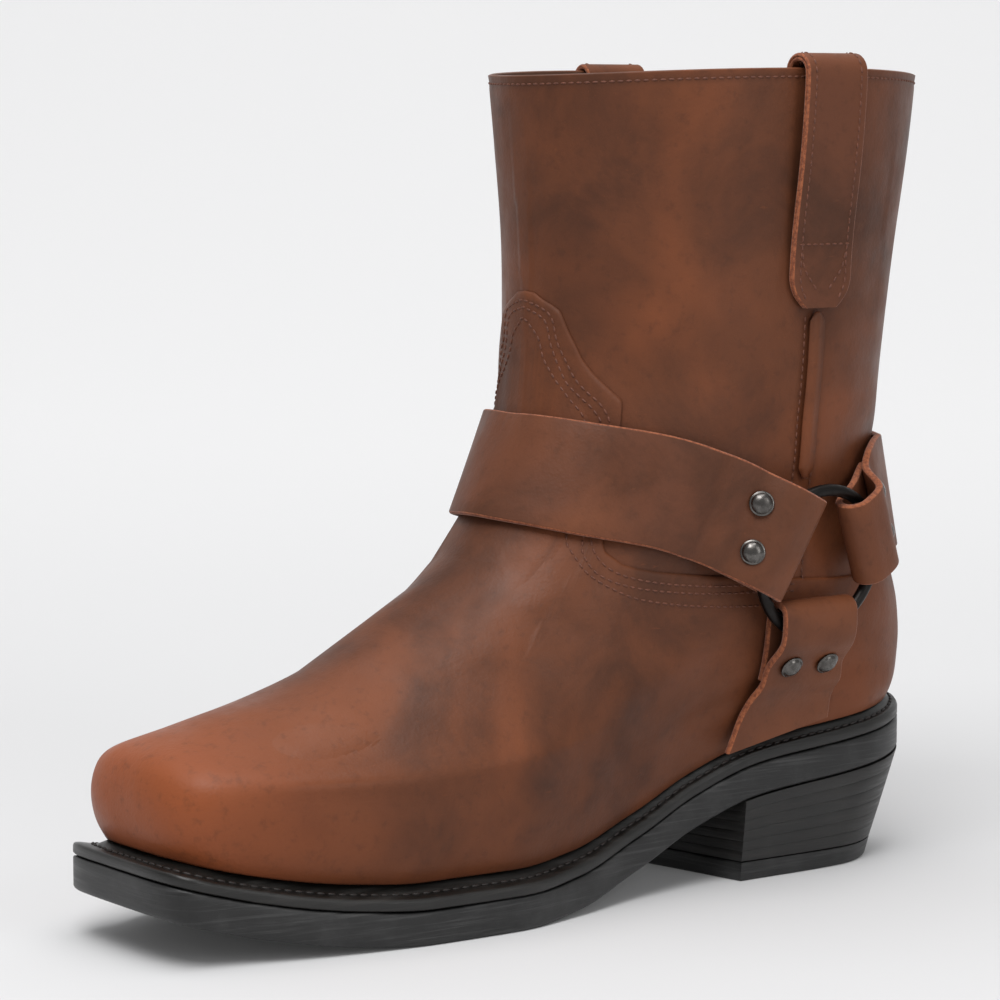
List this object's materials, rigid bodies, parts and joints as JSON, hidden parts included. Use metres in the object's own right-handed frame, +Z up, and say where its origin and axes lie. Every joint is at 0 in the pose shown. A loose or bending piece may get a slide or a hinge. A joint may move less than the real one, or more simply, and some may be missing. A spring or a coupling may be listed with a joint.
{
  "type": "harness boot",
  "caption": "Pull-on leather ankle boot with a square toe, stacked heel, ring harness straps and pull loops, open at the collar.",
  "frame": {"origin": "middle of the box's underside, on the floor the boot stands on", "axes": "+Z up, +Y from the toe to the heel, +X to the wearer's left, which is the outer side of this left boot"},
  "size_m": [0.125, 0.3078, 0.2737],
  "materials": {
    "oiled_leather": "oiled pull-up leather, mottled brown",
    "harness_leather": "oiled leather with raw suede edges",
    "black_rubber": "black rubber, fine horizontal marks",
    "black_welt": "black dressed edge",
    "stacked_heel": "black stacked layers, dressed edge",
    "insole_leather": "plain tan leather, guessed",
    "blackened_ring": "blackened steel wire",
    "gunmetal_rivet": "polished gunmetal"
  },
  "bodies": {
    "root": {"upper": "oiled_leather", "side_seam_outer": "oiled_leather", "side_seam_inner": "oiled_leather", "front_strap": "harness_leather", "back_strap": "harness_leather", "ring_strap_outer": "harness_leather", "ring_strap_inner": "harness_leather", "pull_strap_outer": "harness_leather", "pull_strap_inner": "harness_leather", "ring_outer": "blackened_ring", "ring_inner": "blackened_ring", "rivet_front_outer_a": "gunmetal_rivet", "rivet_front_outer_b": "gunmetal_rivet", "rivet_front_inner_a": "gunmetal_rivet", "rivet_front_inner_b": "gunmetal_rivet", "rivet_back_outer_a": "gunmetal_rivet", "rivet_back_outer_b": "gunmetal_rivet", "rivet_back_inner_a": "gunmetal_rivet", "rivet_back_inner_b": "gunmetal_rivet", "rivet_ring_outer_a": "gunmetal_rivet", "rivet_ring_outer_b": "gunmetal_rivet", "rivet_ring_inner_a": "gunmetal_rivet", "rivet_ring_inner_b": "gunmetal_rivet", "welt": "black_welt", "outsole": "black_rubber", "heel_lift": "black_rubber", "heel_stack": "stacked_heel", "insole": "insole_leather"}
  },
  "joints": []
}
